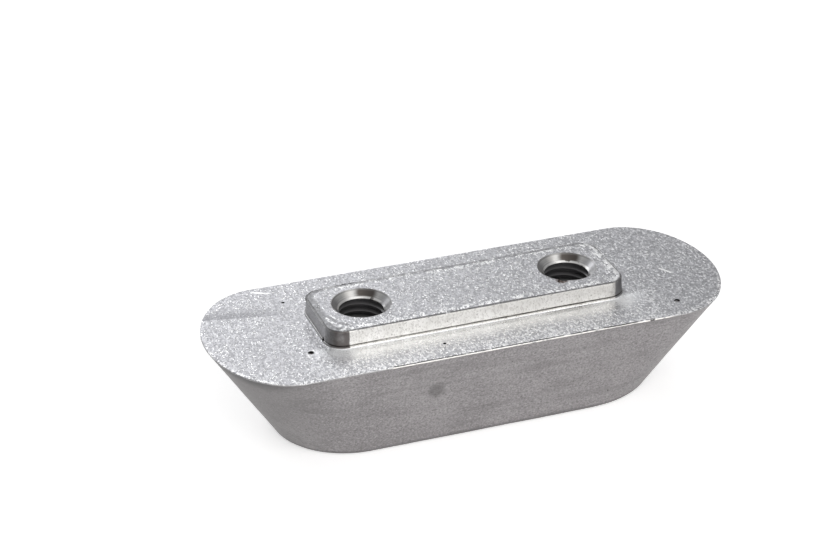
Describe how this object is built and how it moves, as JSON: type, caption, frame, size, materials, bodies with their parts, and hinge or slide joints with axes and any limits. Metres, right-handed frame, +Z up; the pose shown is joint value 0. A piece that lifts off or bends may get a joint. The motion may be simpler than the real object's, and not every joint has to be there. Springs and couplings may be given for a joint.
{
  "type": "sacrificial anode",
  "caption": "Boat-shaped cast zinc anode with rounded ends, a raised seating pad on its wide face, and blind tapped and countersunk holes in the pad.",
  "frame": {"origin": "centre of the narrow flat face that it lies on", "axes": "+X along the block, +Y across it, +Z up through the pad, out of the tapped holes"},
  "size_m": [0.123, 0.045, 0.0291],
  "materials": {
    "cast_zinc": "as cast, rough and bright on the wide face and pad, satin on the tapered sides"
  },
  "bodies": {
    "root": {"anode_block": "cast_zinc"}
  },
  "joints": []
}
